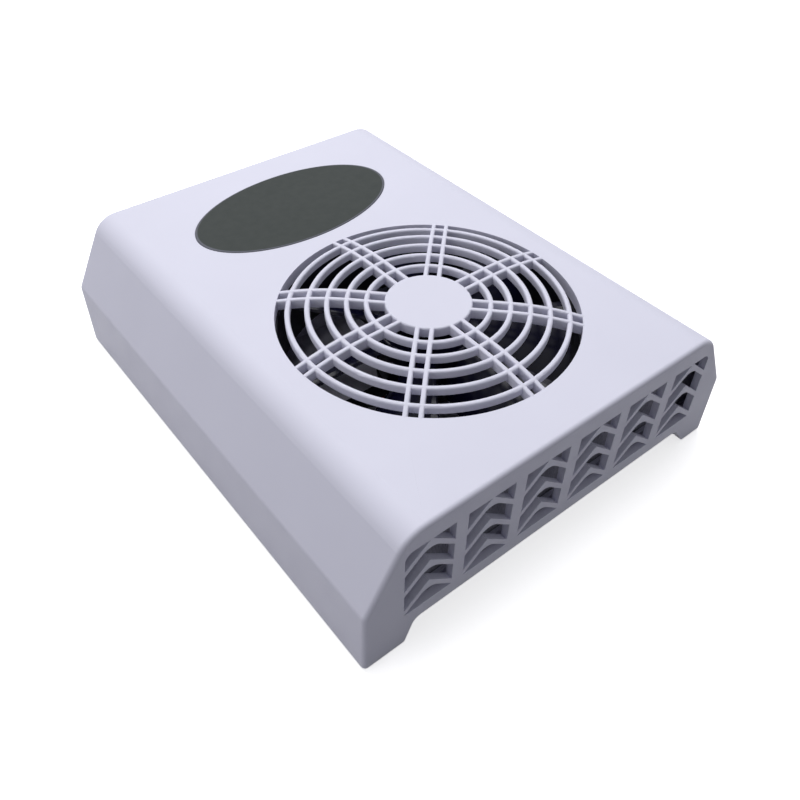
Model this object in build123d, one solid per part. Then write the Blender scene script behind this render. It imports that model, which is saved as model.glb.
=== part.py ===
from build123d import *
from math import atan2, cos, degrees, pi, radians, sin, sqrt, tan
import os

# Table-top nail dust collector: a moulded shell with a round suction grille in its top and
# louvres in its front end, an axial fan under the grille, and a rocker switch and a
# low-voltage inlet in its rear end. Millimetres. The origin is on the table under the middle
# of the body, +X to the right seen from the vent end, -Y towards the vent end, +Z up.

# Body
body_width = 178.8
body_length = 214.0
shell_height = 58.5
foot_stand = 1.5
shoulder_height = 29.0
side_lean = 0.8
top_width = 144.0
top_corner_radius = 12.0
shoulder_radius = 4.0
end_edge_radius = 1.7
rear_recess = 6.0
wall = 2.4
vent_wall = 2.9
rear_wall = 3.0

# Suction grille
opening_radius = 58.0
disc_radius = 16.6
ring_count = 5
ring_width = 2.0
ring_height = 3.2
ring_rounding = 0.85
inner_ring_offset = 6.8
outer_ring_offset = 4.85
bar_width = 1.8
bar_height = 4.0
bar_rounding = 0.65
bar_spacing = 5.3
spoke_pairs = 8
dome_rise = 3.6
dome_flat_radius = 30.0
rim_rise = 0.1
collar_height = 5.0
collar_wall = 2.0

# Label
label_length = 95.0
label_width = 53.0
label_turn = 2.7
label_thickness = 0.8
label_recess = 0.5
label_share = 0.32
label_gap = 0.15
label_edge = 0.3

# Louvres
column_count = 6
column_bar = 5.0
field_margin = 16.3
field_drop = 8.5
field_corner_radius = 3.5
first_apex_drop = 10.75
louvre_pitch = 11.1
louvre_count = 3
louvre_fall = 8.9
louvre_thickness = 2.7
louvre_apex_radius = 5.3

# Arch under each end
arch_height = 10.5
leg_top_width = 21.0
left_foot_width = 16.8
right_foot_width = 13.0
arch_rounding = 4.0
leg_rounding = 1.2

# Base plate
base_thickness = 2.2
base_gap = 0.3
foot_block_width = 9.6
foot_block_length = 14.0
foot_block_rounding = 1.6
foot_radius = 4.0
foot_socket_depth = 2.0
foot_gap = 0.15
foot_rounding = 0.6
base_rib_height = 3.0
base_rib_thickness = 1.6

# Screws that hold the base plate
boss_radius = 3.6
boss_inset = 11.0
boss_end_gap = 14.0
bosses_per_side = 3
screw_radius = 1.5
screw_length = 12.0
screw_head_radius = 2.9
screw_head_height = 1.9
screw_gap = 0.05
screw_hole_gap = 0.2
screw_slot = 0.9
screw_slot_depth = 1.0
screw_point = 1.0
head_rounding = 0.7

# Exhaust filter
filter_thickness = 3.5
filter_gap = 0.2
filter_inset = 1.0
filter_standoff = 3.5
guide_width = 1.2
guide_clearance = 0.2

# Fan
fan_front_gap = 4.6
fan_rim = 2.0
fan_depth = 25.0
fan_corner_radius = 5.0
bore_step = 0.5
duct_wall = 1.8
flange_thickness = 4.0
fan_hole_inset = 7.5
fan_hole_radius = 2.15
gasket_thickness = 1.0
fan_boss_radius = 4.0
fan_screw_radius = 2.0
fan_screw_length = 28.0
fan_screw_head_radius = 3.6
fan_screw_head_height = 2.4
bulkhead_gap = 3.0
bulkhead_thickness = 2.0
wire_notch_radius = 3.0

# Fan motor
mount_radius = 20.0
mount_thickness = 3.0
strut_count = 4
strut_width = 4.0
strut_height = 3.4
tube_radius = 5.5
tube_foot_radius = 7.0
board_ledge_radius = 8.5
board_ledge_height = 1.0
board_thickness = 1.0
board_radius = 15.5
board_gap = 0.15
stator_height = 8.0
stator_seat = 7.6
pole_count = 4
pole_neck = 4.0
pole_shoe = 1.8
pole_slot = 2.4
stator_ring = 2.5
coil_thickness = 2.0
coil_gap = 0.15
magnet_gap = 0.6
magnet_thickness = 2.2
magnet_height = 10.0
yoke_thickness = 1.0
yoke_height = 15.0
hub_wall = 1.8
hub_top = 2.0
hub_drop = 1.0
hub_floor_gap = 1.0
yoke_inset = 1.0
hub_boss_radius = 3.4
shaft_radius = 1.5
bearing_radius = 4.0
bearing_width = 4.0
bearing_gap = 0.05
bearing_shoulder = 1.2
bearing_recess = 2.7
tube_overhang = 1.5
hub_boss_gap = 0.8
clip_ring_radius = 2.7
clip_ring_thickness = 0.6
clip_groove = 0.4
clip_ring_gap = 0.3
clip_mouth = 1.5
blade_top_drop = 0.5
blade_count = 7
blade_turn = 12.0
blade_thickness = 1.6
blade_tip_gap = 1.5
root_chord = 21.0
root_pitch = 50.0
tip_chord = 38.0
tip_pitch = 27.0
blade_camber = 2.4
blade_clearance = 1.6

# Rocker switch
switch_inset = 55.4
switch_drop = 25.0
bezel_width = 21.0
bezel_height = 15.0
bezel_thickness = 2.0
bezel_rounding = 1.2
neck_width = 19.2
neck_height = 12.9
neck_depth = 13.0
neck_wall = 0.85
neck_floor = 2.0
cutout_gap = 0.15
rocker_gap = 0.25
rocker_tilt = 12.0
rocker_valley = 0.6
pivot_depth = 3.0
rocker_underside = 2.0
trunnion_radius = 1.2
trunnion_gap = 0.1
terminal_width = 4.8
terminal_thickness = 0.8
terminal_length = 7.0
terminal_spacing = 9.0
terminal_hole_radius = 0.8
terminal_eye_offset = 2.2
terminal_rise = 1.0
catch_length = 4.0
catch_height = 0.8

# Low-voltage inlet
inlet_inset = 27.4
inlet_drop = 25.0
inlet_flange_radius = 5.6
inlet_flange_thickness = 1.8
inlet_thread_radius = 4.0
inlet_length = 14.0
inlet_bore_radius = 2.85
inlet_bore_depth = 9.5
inlet_pin_radius = 1.0
inlet_pin_length = 8.5
inlet_nut_flats = 11.0
inlet_nut_thickness = 2.2
inlet_gap = 0.1
inlet_rounding = 0.5
lug_width = 2.4
lug_length = 5.0
lug_thickness = 0.6
lug_offset = 2.6

# Internal leads
lead_radius = 0.8
lead_spacing = 2.2
lead_bend = 7.0
lead_tight_bend = 4.8
lead_hole_radius = 2.4
lead_hole_offset = 12.0
lead_drop = 12.0
lead_entry_y = -3.0
lead_inner_corner = 13.0
lead_outer_corner = 26.0
lead_tail = 13.0
lead_loop = 10.0

# How far a cutting solid runs past a face, and how far a joined one runs into its neighbour
beyond = 1.0
bite = 0.5

# Heights and places worked out from the sizes above
top_z = foot_stand + shell_height
shoulder_z = foot_stand + shoulder_height
half_width = body_width / 2
half_top = top_width / 2
half_length = body_length / 2
half_shoulder = half_width - side_lean
slant_angle = atan2(top_z - shoulder_z, half_shoulder - half_top)
rear_reach = half_length - rear_recess
vent_inner_y = vent_wall - half_length
rear_inner_y = rear_reach - rear_wall
roof_z = top_z - wall
arch_z = foot_stand + arch_height
base_top_z = arch_z + base_thickness
collar_z = top_z - collar_height
fan_top_z = collar_z - gasket_thickness
fan_bottom_z = fan_top_z - fan_depth
guide_inset = collar_height - guide_clearance
first_ring_radius = disc_radius + inner_ring_offset
last_ring_radius = opening_radius - outer_ring_offset
ring_pitch = (last_ring_radius - first_ring_radius) / (ring_count - 1)
dome_run = opening_radius - dome_flat_radius
dome_fall = dome_rise - rim_rise
dome_radius = (dome_run ** 2 + dome_fall ** 2) / (2 * dome_fall)
dome_top_z = top_z + dome_rise
dome_centre_z = dome_top_z - dome_radius
filter_front_y = vent_inner_y + filter_standoff + guide_width + filter_gap
filter_back_y = filter_front_y + filter_thickness
fan_size = 2 * (opening_radius + fan_rim)
fan_bore_radius = opening_radius - bore_step
fan_hole_spacing = fan_size - 2 * fan_hole_inset
fan_y = filter_back_y + filter_gap + guide_width + fan_front_gap + fan_size / 2
grille_end_y = fan_y + opening_radius
label_room = half_length - grille_end_y - label_width
label_y = grille_end_y + label_share * label_room + label_width / 2
bulkhead_y = fan_y + fan_size / 2 + bulkhead_gap
left_foot_x = left_foot_width - half_width
right_foot_x = half_width - right_foot_width
boss_x = half_width - boss_inset
column_pitch = (body_width - 2 * field_margin + column_bar) / column_count
column_width = column_pitch - column_bar
louvre_slope = louvre_fall / (column_width / 2)
field_top_z = top_z - field_drop
fan_screw_tip = fan_bottom_z + fan_screw_length
screw_tip = arch_z + screw_length
notch_x = 2 * boss_radius - boss_x
base_half_width = half_shoulder - wall - base_gap
base_front_y = vent_inner_y + base_gap
base_rear_y = rear_inner_y - base_gap
mount_z = fan_bottom_z + mount_thickness
board_z = mount_z + board_ledge_height
stator_z = fan_bottom_z + stator_seat
tube_top_z = stator_z + stator_height + tube_overhang
hub_bottom_z = mount_z + hub_floor_gap
hub_top_z = fan_top_z - hub_drop
yoke_radius = mount_radius - hub_wall
magnet_radius = yoke_radius - yoke_thickness
magnet_bore = magnet_radius - magnet_thickness
stator_radius = magnet_bore - magnet_gap
lower_bearing_z = fan_bottom_z + bearing_recess
upper_bearing_z = tube_top_z - bearing_width
clip_ring_z = lower_bearing_z - clip_ring_gap - clip_ring_thickness
shaft_bottom_z = clip_ring_z - clip_ring_thickness
blade_tip_radius = fan_bore_radius - blade_tip_gap
blade_low_z = fan_bottom_z + strut_height + blade_clearance
blade_high_z = hub_top_z - blade_top_drop
shaft_top_z = hub_top_z - hub_top / 2
switch_x = switch_inset - half_width
inlet_x = inlet_inset - half_width
switch_z = top_z - switch_drop
inlet_z = top_z - inlet_drop
bezel_y = rear_reach + bezel_thickness
pivot_y = bezel_y - pivot_depth
neck_end_y = rear_reach - neck_depth
terminal_end_y = neck_end_y - terminal_length
rocker_radius = neck_width / 2 - neck_wall - rocker_gap
rocker_half_height = neck_height / 2 - neck_wall - rocker_gap
inlet_face_y = rear_reach + inlet_flange_thickness
inlet_end_y = rear_reach - inlet_length
lug_end_y = inlet_end_y - lug_length


def box_between(x0, x1, y0, y1, z0, z1):
    return Pos((x0 + x1) / 2, (y0 + y1) / 2, (z0 + z1) / 2) * Box(x1 - x0, y1 - y0, z1 - z0)


def upright_cylinder(x, y, z0, z1, radius):
    return Pos(x, y, (z0 + z1) / 2) * Cylinder(radius, z1 - z0)


def upright_tube(x, y, z0, z1, inner, outer):
    return upright_cylinder(x, y, z0, z1, outer) - upright_cylinder(x, y, z0 - beyond, z1 + beyond, inner)


def end_plane(y, x=0, z=0):
    """Upright plane across the body that faces the vent end."""
    return Plane((x, y, z), x_dir=(1, 0, 0), z_dir=(0, -1, 0))


def edges_at_height(solid, z):
    return [edge for edge in solid.edges() if abs(edge.center().Z - z) < 0.01]


def edges_at_reach(solid, y):
    return [edge for edge in solid.edges() if abs(edge.center().Y - y) < 0.01]


def section_face(inset, bottom_z):
    """The body's cross-section, pulled in by inset all round, in the XZ plane at y = 0."""
    z_top = top_z - inset
    x_top = half_top - inset * tan(slant_angle / 2)
    x_side = half_shoulder - inset
    z_side = shoulder_z - inset * tan((pi / 2 - slant_angle) / 2)
    x_foot = x_side + side_lean * (z_side - bottom_z) / shoulder_height
    outline = Polyline(
        (-x_foot, bottom_z), (-x_side, z_side), (-x_top, z_top),
        (x_top, z_top), (x_side, z_side), (x_foot, bottom_z), close=True)
    face = make_face(outline)
    tops = [v for v in face.vertices() if abs(v.Y - z_top) < 0.01]
    face = fillet(tops, max(top_corner_radius - inset, 1.0))
    sides = [v for v in face.vertices() if abs(v.Y - z_side) < 0.01]
    return fillet(sides, max(shoulder_radius - inset, 0.8))


def section_solid(inset, y0, y1, bottom_z):
    """A length of the body's cross-section from y0 to y1."""
    face = section_face(inset, bottom_z)
    return extrude(end_plane(y1) * face, y1 - y0)


def ring_of_section(inner_inset, outer_inset, y0, y1, bottom_z):
    """A rib that runs round the inside of the shell."""
    core = section_solid(inner_inset, y0 - beyond, y1 + beyond, bottom_z - beyond)
    return section_solid(outer_inset, y0, y1, bottom_z) - core


def rounded_rib(width, crest_z, foot_z, rounding):
    """Upright section of a grille rib with a rounded crest, centred on x = 0."""
    face = Pos(0, (crest_z + foot_z) / 2) * Rectangle(width, crest_z - foot_z)
    crest = [v for v in face.vertices() if v.Y > crest_z - 0.01]
    return fillet(crest, rounding)


def crest_height(radius):
    """Height of the dome's crest at a distance from the fan's axis."""
    run = max(radius - dome_flat_radius, 0.0)
    return dome_centre_z + sqrt(dome_radius ** 2 - run ** 2)


def grille_ring(radius):
    crest_z = crest_height(radius)
    face = Pos(radius, 0) * rounded_rib(ring_width, crest_z, crest_z - ring_height, ring_rounding)
    wedge = revolve(Plane.XZ * face, Axis.Z, 360 / spoke_pairs)
    return Rot(0, 0, -180 / spoke_pairs) * wedge


def grille_bar(offset):
    """One straight bar of a spoke, bent over the dome, running out along +X."""
    reach = opening_radius + collar_wall / 2
    start = disc_radius - 2 * ring_width
    profile = rounded_rib(bar_width, dome_top_z, dome_top_z - bar_height, bar_rounding)
    hinge = Axis((dome_flat_radius, 0, dome_centre_z), (0, 1, 0))
    turn = degrees((reach - dome_flat_radius) / dome_radius)
    bend = Plane((dome_flat_radius, offset, 0), x_dir=(0, 1, 0), z_dir=(1, 0, 0))
    root = Plane((start, offset, 0), x_dir=(0, 1, 0), z_dir=(1, 0, 0))
    return revolve(bend * profile, hinge, turn) + extrude(root * profile, dome_flat_radius - start)


def grille_sector():
    """One spoke pair with its share of every ring, about the fan's axis."""
    sector = grille_bar(bar_spacing / 2) + grille_bar(-bar_spacing / 2)
    for index in range(ring_count):
        sector += grille_ring(first_ring_radius + index * ring_pitch)
    return sector


def grille():
    """The domed suction grille: centre disc, rings and paired spokes, about the fan's axis."""
    sector = grille_sector()
    disc = upright_cylinder(0, 0, dome_top_z - bar_height, dome_top_z, disc_radius)
    disc = fillet(edges_at_height(disc, dome_top_z), bar_rounding)
    hollow = disc_radius - ring_width
    disc -= upright_cylinder(0, 0, dome_top_z - bar_height - beyond, dome_top_z - wall, hollow)
    sectors = [Rot(0, 0, 360 / spoke_pairs * index) * sector for index in range(spoke_pairs)]
    return disc.fuse(*sectors)


def fan_corner(index):
    """Place of a fan fixing hole, for index 0 to 3."""
    half = fan_hole_spacing / 2
    return ((-half, half)[index % 2], fan_y + (-half, half)[index // 2])


def boss_places():
    """Places of the base plate's screws, in a row along each side between the foot blocks."""
    front = base_front_y + foot_block_length + boss_end_gap
    rear = base_rear_y - foot_block_length - boss_end_gap
    step = (rear - front) / (bosses_per_side - 1)
    return [(side * boss_x, front + index * step) for side in (-1, 1) for index in range(bosses_per_side)]


def arch(y0, y1):
    """The opening under an end of the body, between its two legs."""
    half_arch = half_width - leg_top_width
    face = make_face(Polyline(
        (left_foot_x, foot_stand - beyond), (left_foot_x, foot_stand), (-half_arch, arch_z),
        (half_arch, arch_z), (right_foot_x, foot_stand), (right_foot_x, foot_stand - beyond), close=True))
    face = fillet([v for v in face.vertices() if v.Y > arch_z - 0.01], arch_rounding)
    return extrude(end_plane(y1) * face, y1 - y0)


def shell_skin():
    """The hollow body: roof, sides, front wall, and a rear wall set back inside the rim."""
    skin = section_solid(0, -half_length, half_length, foot_stand)
    ends = [e for e in skin.edges()
            if abs(abs(e.center().Y) - half_length) < 0.01 and e.center().Z > foot_stand + 0.01]
    skin = fillet(ends, end_edge_radius)
    skin -= section_solid(wall, vent_inner_y, rear_inner_y, foot_stand - beyond)
    skin -= section_solid(wall, rear_reach, half_length + beyond, foot_stand - beyond)
    skin -= arch(-half_length - beyond, rear_reach + beyond)
    feet = [e for e in edges_at_height(skin, foot_stand)
            if min(abs(e.center().X - left_foot_x), abs(e.center().X - right_foot_x)) < 0.01]
    return fillet(feet, leg_rounding)


def shell_ribs():
    """Filter guides, bulkhead, screw bosses and the collar round the grille, inside the shell."""
    skin = wall / 2
    rib_floor = base_top_z + base_gap
    ribs = [ring_of_section(guide_inset, skin, y, y + guide_width, rib_floor)
            for y in (filter_front_y - filter_gap - guide_width, filter_back_y + filter_gap)]
    bulkhead = section_solid(skin, bulkhead_y, bulkhead_y + bulkhead_thickness, rib_floor)
    notch = Pos(notch_x, bulkhead_y + bulkhead_thickness / 2, rib_floor)
    bulkhead -= notch * Rot(90, 0, 0) * Cylinder(wire_notch_radius, 2 * bulkhead_thickness)
    ribs.append(bulkhead)
    envelope = section_solid(skin, vent_inner_y - skin, rear_inner_y + skin, foot_stand)
    for x, y in boss_places():
        ribs.append(upright_cylinder(x, y, base_top_z, roof_z, boss_radius) & envelope)
    for index in range(4):
        x, y = fan_corner(index)
        ribs.append(upright_cylinder(x, y, fan_top_z, top_z - skin, fan_boss_radius))
    ribs.append(upright_cylinder(0, fan_y, collar_z, top_z - skin, opening_radius + collar_wall))
    return ribs


def shell_holes():
    """The round opening, pilot holes, the badge's seat, the louvre openings and the rear cutouts."""
    holes = [upright_cylinder(0, fan_y, collar_z - beyond, top_z + beyond, opening_radius)]
    for x, y in boss_places():
        holes.append(upright_cylinder(
            x, y, base_top_z - beyond, screw_tip + beyond, screw_radius + screw_gap))
    for index in range(4):
        x, y = fan_corner(index)
        holes.append(upright_cylinder(
            x, y, fan_top_z - beyond, fan_screw_tip + screw_gap, fan_screw_radius + screw_gap))
    holes.append(label_oval(label_gap, top_z - label_recess, top_z + beyond))
    louvre_plane = end_plane(vent_inner_y + beyond)
    for column in range(column_count):
        for face in column_openings(column):
            holes.append(extrude(louvre_plane * face, vent_wall + 2 * beyond))
    slot_x = neck_width / 2 + cutout_gap
    slot_z = neck_height / 2 + cutout_gap
    holes.append(box_between(
        switch_x - slot_x, switch_x + slot_x, rear_inner_y - beyond, rear_reach + beyond,
        switch_z - slot_z, switch_z + slot_z))
    holes.append(rear_cylinder(
        inlet_x, inlet_z, rear_inner_y - beyond, rear_reach + beyond, inlet_thread_radius + inlet_gap))
    return holes


def top_shell():
    """Top, sides and both ends in one moulding, with the suction grille, louvres and inner ribs."""
    shell = shell_skin().fuse(*shell_ribs()).cut(*shell_holes())
    return shell.fuse(Pos(0, fan_y, 0) * grille())


def label_oval(grow, z0, z1):
    oval = Ellipse(label_length / 2 + grow, label_width / 2 + grow)
    return extrude(Pos(0, label_y, z0) * Rot(0, 0, label_turn) * oval, z1 - z0)


def oval_label():
    """Oval badge seated in a shallow recess behind the grille."""
    seat = top_z - label_recess
    plate = label_oval(0, seat, seat + label_thickness)
    return fillet(edges_at_height(plate, seat + label_thickness), label_edge)


def louvre_line(index, height, x):
    """Height of a louvre's lower edge, or of a line height above it, x from the column's middle."""
    apex = top_z - first_apex_drop - index * louvre_pitch
    return apex + height - louvre_slope * abs(x)


def top_opening(column, side):
    """The three-cornered opening over one arm of a column's top louvre."""
    half = column_width / 2
    meet = (louvre_line(0, louvre_thickness, 0) - field_top_z) / louvre_slope
    face = make_face(Polyline(
        (side * half, field_top_z), (side * meet, field_top_z),
        (side * half, louvre_line(0, louvre_thickness, half)), close=True))
    if column == (0 if side < 0 else column_count - 1):
        corner = [v for v in face.vertices() if v.Y > field_top_z - 0.01 and abs(v.X) > half - 0.01]
        face = fillet(corner, field_corner_radius)
    return face


def lower_opening(index):
    """The opening under a louvre, down to the next louvre or to the sill of the field."""
    half = column_width / 2
    roof = [(x, louvre_line(index, 0, x)) for x in (-half, 0, half)]
    floor = []
    if index < louvre_count - 1:
        floor = [(x, louvre_line(index + 1, louvre_thickness, x)) for x in (half, 0, -half)]
    face = make_face(Polyline(*roof, *floor, close=True))
    apex = [v for v in face.vertices() if abs(v.X) < 0.01 and abs(v.Y - roof[1][1]) < 0.01]
    return fillet(apex, louvre_apex_radius)


def column_openings(column):
    """The openings of one column of louvres, as faces drawn on the front wall."""
    middle = (column - (column_count - 1) / 2) * column_pitch
    faces = [top_opening(column, side) for side in (-1, 1)]
    faces += [lower_opening(index) for index in range(louvre_count)]
    return [Pos(middle, 0) * face for face in faces]


def rear_cylinder(x, z, y0, y1, radius):
    """Cylinder that lies along Y."""
    return Pos(x, (y0 + y1) / 2, z) * Rot(90, 0, 0) * Cylinder(radius, y1 - y0)


def foot_places():
    x = base_half_width - foot_block_width / 2
    front = base_front_y + foot_block_length / 2
    rear = base_rear_y - foot_block_length / 2
    return [(side * x, y) for side in (-1, 1) for y in (front, rear)]


def base_plate():
    """Floor of the housing, with a foot block at each corner."""
    plate = box_between(-base_half_width, base_half_width, base_front_y, base_rear_y, arch_z, base_top_z)
    extras = []
    for x, y in foot_places():
        outline = RectangleRounded(foot_block_width, foot_block_length, foot_block_rounding)
        extras.append(extrude(Pos(x, y, foot_stand) * outline, arch_height + bite))
    sill = base_half_width - foot_block_width
    rib_top = base_top_z + base_rib_height
    for y0 in (filter_front_y - filter_gap - base_rib_thickness, filter_back_y + filter_gap):
        extras.append(box_between(-sill, sill, y0, y0 + base_rib_thickness, base_top_z, rib_top))
    stiffener_y0 = bulkhead_y + 2 * bulkhead_thickness
    stiffener_y1 = base_rear_y - base_rib_thickness
    for x in (-column_pitch, 0, column_pitch):
        extras.append(box_between(
            x - base_rib_thickness / 2, x + base_rib_thickness / 2, stiffener_y0, stiffener_y1,
            base_top_z, rib_top))
    plate = plate.fuse(*extras)
    holes = [upright_cylinder(x, y, arch_z - beyond, base_top_z + beyond, screw_radius + screw_hole_gap)
             for x, y in boss_places()]
    for x, y in foot_places():
        holes.append(upright_cylinder(
            x, y, foot_stand - beyond, foot_stand + foot_socket_depth, foot_radius + foot_gap))
    return plate.cut(*holes)


def rubber_feet():
    feet = []
    for x, y in foot_places():
        foot = upright_cylinder(x, y, 0, foot_stand + foot_socket_depth, foot_radius)
        feet.append(fillet(edges_at_height(foot, 0), foot_rounding))
    return Compound(children=feet)


def screw(length, radius, head_radius, head_height):
    """Pan-head screw with a cross slot, pointing up, its head under z = 0."""
    head = upright_cylinder(0, 0, -head_height, 0, head_radius)
    head = fillet(edges_at_height(head, -head_height), head_rounding)
    shank = upright_cylinder(0, 0, 0, length, radius)
    shank = chamfer(edges_at_height(shank, length), screw_point)
    body = head + shank
    for turn in (0, 90):
        slot = Box(1.2 * head_radius, screw_slot, 2 * screw_slot_depth)
        body -= Pos(0, 0, -head_height) * Rot(0, 0, turn) * slot
    return body


def base_screws():
    one = screw(screw_length, screw_radius, screw_head_radius, screw_head_height)
    return Compound(children=[Pos(x, y, arch_z) * one for x, y in boss_places()])


def exhaust_filter():
    """Pad of filter cloth that stands in the guides behind the louvres."""
    return section_solid(wall + filter_inset, filter_front_y, filter_back_y, base_top_z)


def fan_gasket():
    return upright_tube(0, fan_y, fan_top_z, collar_z, opening_radius, opening_radius + collar_wall)


def fan_frame():
    """Square fan frame with its duct, struts, motor mount and bearing tube."""
    plate = RectangleRounded(fan_size, fan_size, fan_corner_radius)
    flange = extrude(Pos(0, fan_y, 0) * plate, flange_thickness)
    lower = Pos(0, 0, fan_bottom_z) * flange
    upper = Pos(0, 0, fan_top_z - flange_thickness) * flange
    duct = upright_cylinder(0, fan_y, fan_bottom_z, fan_top_z, fan_bore_radius + duct_wall)
    frame = lower.fuse(upper, duct)
    holes = [upright_cylinder(0, fan_y, fan_bottom_z - beyond, fan_top_z + beyond, fan_bore_radius)]
    for index in range(4):
        x, y = fan_corner(index)
        holes.append(upright_cylinder(x, y, fan_bottom_z - beyond, fan_top_z + beyond, fan_hole_radius))
    frame = frame.cut(*holes)
    inner = [upright_cylinder(0, fan_y, fan_bottom_z, mount_z, mount_radius),
             upright_cylinder(0, fan_y, fan_bottom_z, board_z, board_ledge_radius),
             upright_cylinder(0, fan_y, fan_bottom_z, stator_z, tube_foot_radius),
             upright_cylinder(0, fan_y, fan_bottom_z, tube_top_z, tube_radius)]
    for index in range(strut_count):
        strut = box_between(mount_radius - bite, fan_bore_radius + duct_wall / 2, -strut_width / 2,
                            strut_width / 2, fan_bottom_z, fan_bottom_z + strut_height)
        inner.append(Pos(0, fan_y, 0) * Rot(0, 0, 360 / strut_count * index) * strut)
    frame = frame.fuse(*inner)
    shoulder = bearing_radius - bearing_shoulder
    return frame.cut(
        upright_cylinder(0, fan_y, fan_bottom_z - beyond, lower_bearing_z + bearing_width, bearing_radius),
        upright_cylinder(0, fan_y, fan_bottom_z - beyond, tube_top_z + beyond, shoulder),
        upright_cylinder(0, fan_y, upper_bearing_z, tube_top_z + beyond, bearing_radius),
        upright_cylinder(
            -lead_hole_offset, fan_y, fan_bottom_z - beyond, mount_z + beyond, lead_hole_radius))


def fan_screws():
    one = screw(fan_screw_length, fan_screw_radius, fan_screw_head_radius, fan_screw_head_height)
    places = [fan_corner(index) for index in range(4)]
    return Compound(children=[Pos(x, y, fan_bottom_z) * one for x, y in places])


def ball_bearing(z0):
    """Closed ball bearing as one ring."""
    return upright_tube(0, fan_y, z0, z0 + bearing_width, shaft_radius + bearing_gap, bearing_radius)


def upper_bearing():
    return ball_bearing(upper_bearing_z)


def lower_bearing():
    return ball_bearing(lower_bearing_z)


def fan_circuit_board():
    """Ring-shaped driver board round the foot of the bearing tube."""
    bore = tube_foot_radius + board_gap
    return upright_tube(0, fan_y, board_z, board_z + board_thickness, bore, board_radius)


def stator_core():
    """Laminated stator with four poles."""
    z0, z1 = stator_z, stator_z + stator_height
    core = upright_cylinder(0, 0, z0, z1, tube_radius + stator_ring)
    shoe_inner = stator_radius - pole_shoe
    shoes = upright_tube(0, 0, z0, z1, shoe_inner, stator_radius)
    for index in range(pole_count):
        turn = 360 / pole_count * index
        neck = box_between(0, shoe_inner + pole_shoe / 2, -pole_neck / 2, pole_neck / 2, z0, z1)
        core += Rot(0, 0, turn) * neck
        slot = box_between(
            0, stator_radius + beyond, -pole_slot / 2, pole_slot / 2, z0 - beyond, z1 + beyond)
        shoes -= Rot(0, 0, turn + 180 / pole_count) * slot
    core = core + shoes
    core -= upright_cylinder(0, 0, z0 - beyond, z1 + beyond, tube_radius)
    return Pos(0, fan_y, 0) * core


def stator_coils():
    """One wound coil round the neck of each pole."""
    start = tube_radius + stator_ring + coil_gap
    half = pole_neck / 2 + coil_gap
    end = sqrt((stator_radius - pole_shoe) ** 2 - (half + coil_thickness) ** 2) - coil_gap
    z0, z1 = stator_z - coil_gap, stator_z + stator_height + coil_gap
    outer = box_between(start, end, -half - coil_thickness, half + coil_thickness, z0 - coil_thickness,
                        z1 + coil_thickness)
    outer = fillet(outer.edges().filter_by(Axis.X), coil_thickness / 2)
    coil = outer - box_between(start - beyond, end + beyond, -half, half, z0, z1)
    turns = [Rot(0, 0, 360 / pole_count * index) * coil for index in range(pole_count)]
    return Compound(children=[Pos(0, fan_y, 0) * turn for turn in turns])


def blade_section(radius, chord, pitch):
    """Cambered blade section on the upright plane that faces out along +X at a radius."""
    turn = radians(pitch)
    half = chord / 2

    def place(along, across):
        return (along * cos(turn) - across * sin(turn), along * sin(turn) + across * cos(turn))

    under = ThreePointArc(place(-half, 0), place(0, blade_camber), place(half, 0))
    nose = Line(place(half, 0), place(half, blade_thickness))
    over = ThreePointArc(place(half, blade_thickness), place(0, blade_camber + blade_thickness),
                         place(-half, blade_thickness))
    tail = Line(place(-half, blade_thickness), place(-half, 0))
    face = make_face([under, nose, over, tail])
    return Plane((radius, 0, 0), x_dir=(0, 1, 0), z_dir=(1, 0, 0)) * face


def fan_blade():
    root = blade_section(mount_radius - hub_wall / 2, root_chord, root_pitch)
    tip = blade_section(blade_tip_radius + beyond, tip_chord, tip_pitch)
    return loft([root, tip], ruled=True)


def fan_impeller():
    """Hub cup and blades in one moulding."""
    middle = (blade_low_z + blade_high_z) / 2
    blade = Pos(0, 0, middle) * fan_blade()
    keep = upright_cylinder(0, 0, blade_low_z, blade_high_z, blade_tip_radius)
    keep -= upright_cylinder(0, 0, hub_bottom_z, fan_top_z, mount_radius - hub_wall / 2)
    blade = blade & keep
    hub = upright_cylinder(0, 0, hub_bottom_z, hub_top_z, mount_radius)
    hub = fillet(edges_at_height(hub, hub_top_z), hub_wall / 2)
    hub -= upright_cylinder(0, 0, hub_bottom_z - beyond, hub_top_z - hub_top, yoke_radius)
    boss = upright_cylinder(0, 0, tube_top_z + hub_boss_gap, hub_top_z - hub_top + bite, hub_boss_radius)
    blades = [Rot(0, 0, 360 / blade_count * index) * blade for index in range(blade_count)]
    rotor = hub.fuse(boss, *blades)
    rotor -= upright_cylinder(0, 0, hub_bottom_z - beyond, shaft_top_z, shaft_radius)
    return Pos(0, fan_y, 0) * Rot(0, 0, blade_turn) * rotor


def rotor_yoke():
    z0 = hub_bottom_z + yoke_inset
    return upright_tube(0, fan_y, z0, z0 + yoke_height, magnet_radius, yoke_radius)


def rotor_magnet():
    z0 = stator_z + stator_height / 2 - magnet_height / 2
    return upright_tube(0, fan_y, z0, z0 + magnet_height, magnet_bore, magnet_radius)


def fan_shaft():
    shaft = upright_cylinder(0, fan_y, shaft_bottom_z, shaft_top_z, shaft_radius)
    groove = upright_tube(0, fan_y, clip_ring_z, clip_ring_z + clip_ring_thickness,
                          shaft_radius - clip_groove, shaft_radius + beyond)
    return shaft - groove


def shaft_clip():
    """Open spring ring in the groove at the shaft's lower end."""
    ring = upright_tube(0, fan_y, clip_ring_z, clip_ring_z + clip_ring_thickness,
                        shaft_radius - clip_groove, clip_ring_radius)
    mouth = box_between(0, clip_ring_radius + beyond, fan_y - clip_mouth / 2, fan_y + clip_mouth / 2,
                        clip_ring_z - beyond, clip_ring_z + beyond)
    return ring - mouth


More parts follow.
